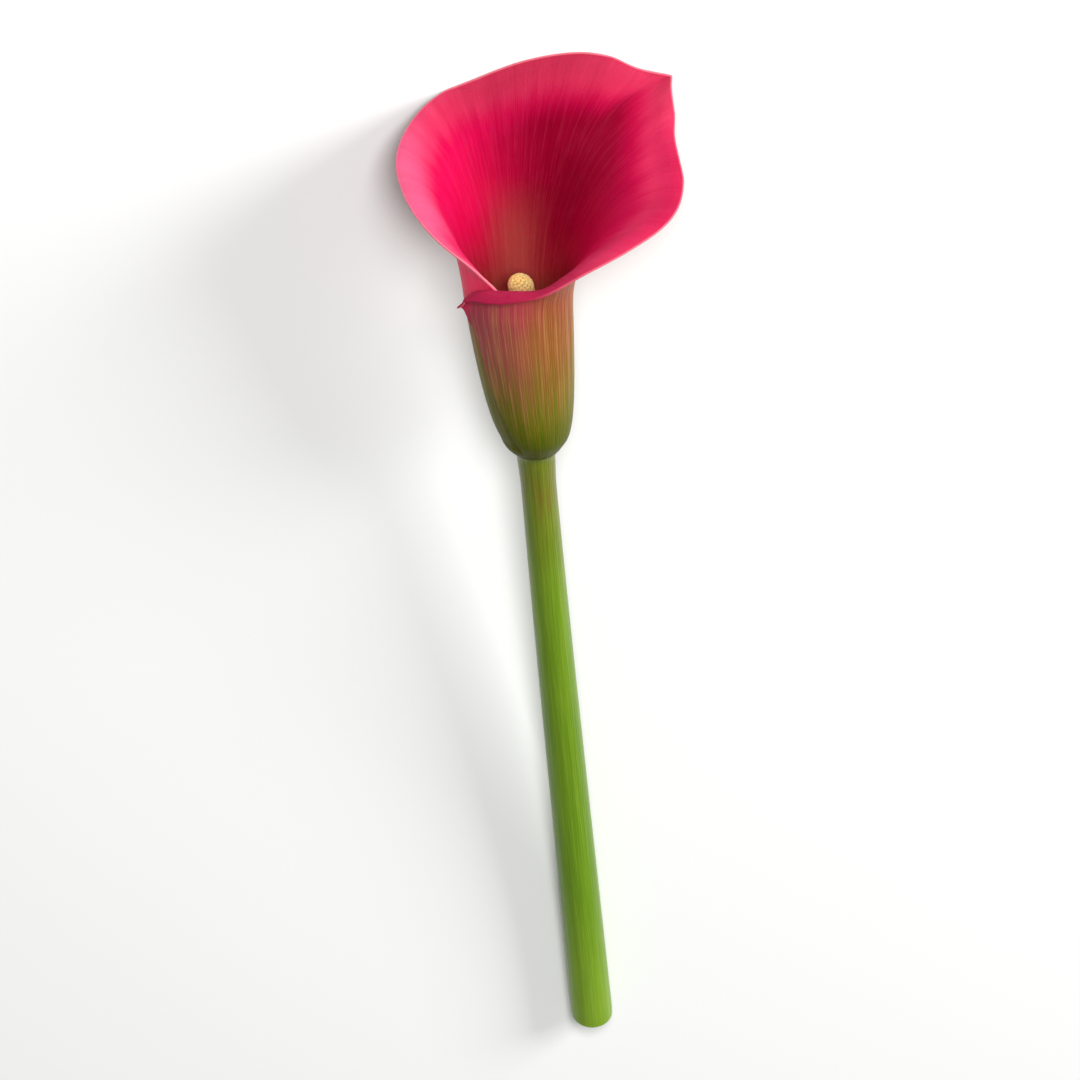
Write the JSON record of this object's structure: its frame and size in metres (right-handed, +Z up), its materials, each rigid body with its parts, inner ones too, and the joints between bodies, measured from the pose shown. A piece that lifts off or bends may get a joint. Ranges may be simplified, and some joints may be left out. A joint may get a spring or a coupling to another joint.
{
  "type": "arum lily flower",
  "caption": "Cut arum lily flower lying on its back, with a rolled pink funnel spathe, a club-shaped spadix inside it and a slender green stem.",
  "frame": {"origin": "on the surface that the flower lies on, at the centre of the bounding box's base", "axes": "+Y from the cut end of the stem towards the bloom, +Z up, and +X to the right of somebody who looks down into the bloom's mouth with the bloom at the top"},
  "size_m": [0.0586, 0.2214, 0.041],
  "materials": {
    "stem": "smooth fresh plant skin with a slight gloss, bright yellow-green, blushed red-brown just below the spathe",
    "spathe": "velvety satin petal, magenta-pink inside with a dark crimson throat, mauve fading through cream-veined peach to olive green outside",
    "pistils": "satin, pale yellow-green",
    "stamens": "matt and grainy, warm yellow-orange"
  },
  "bodies": {
    "root": {"stem": "stem", "spathe": "spathe", "spadix_pistils": "pistils", "spadix_stamens": "stamens"}
  },
  "joints": []
}
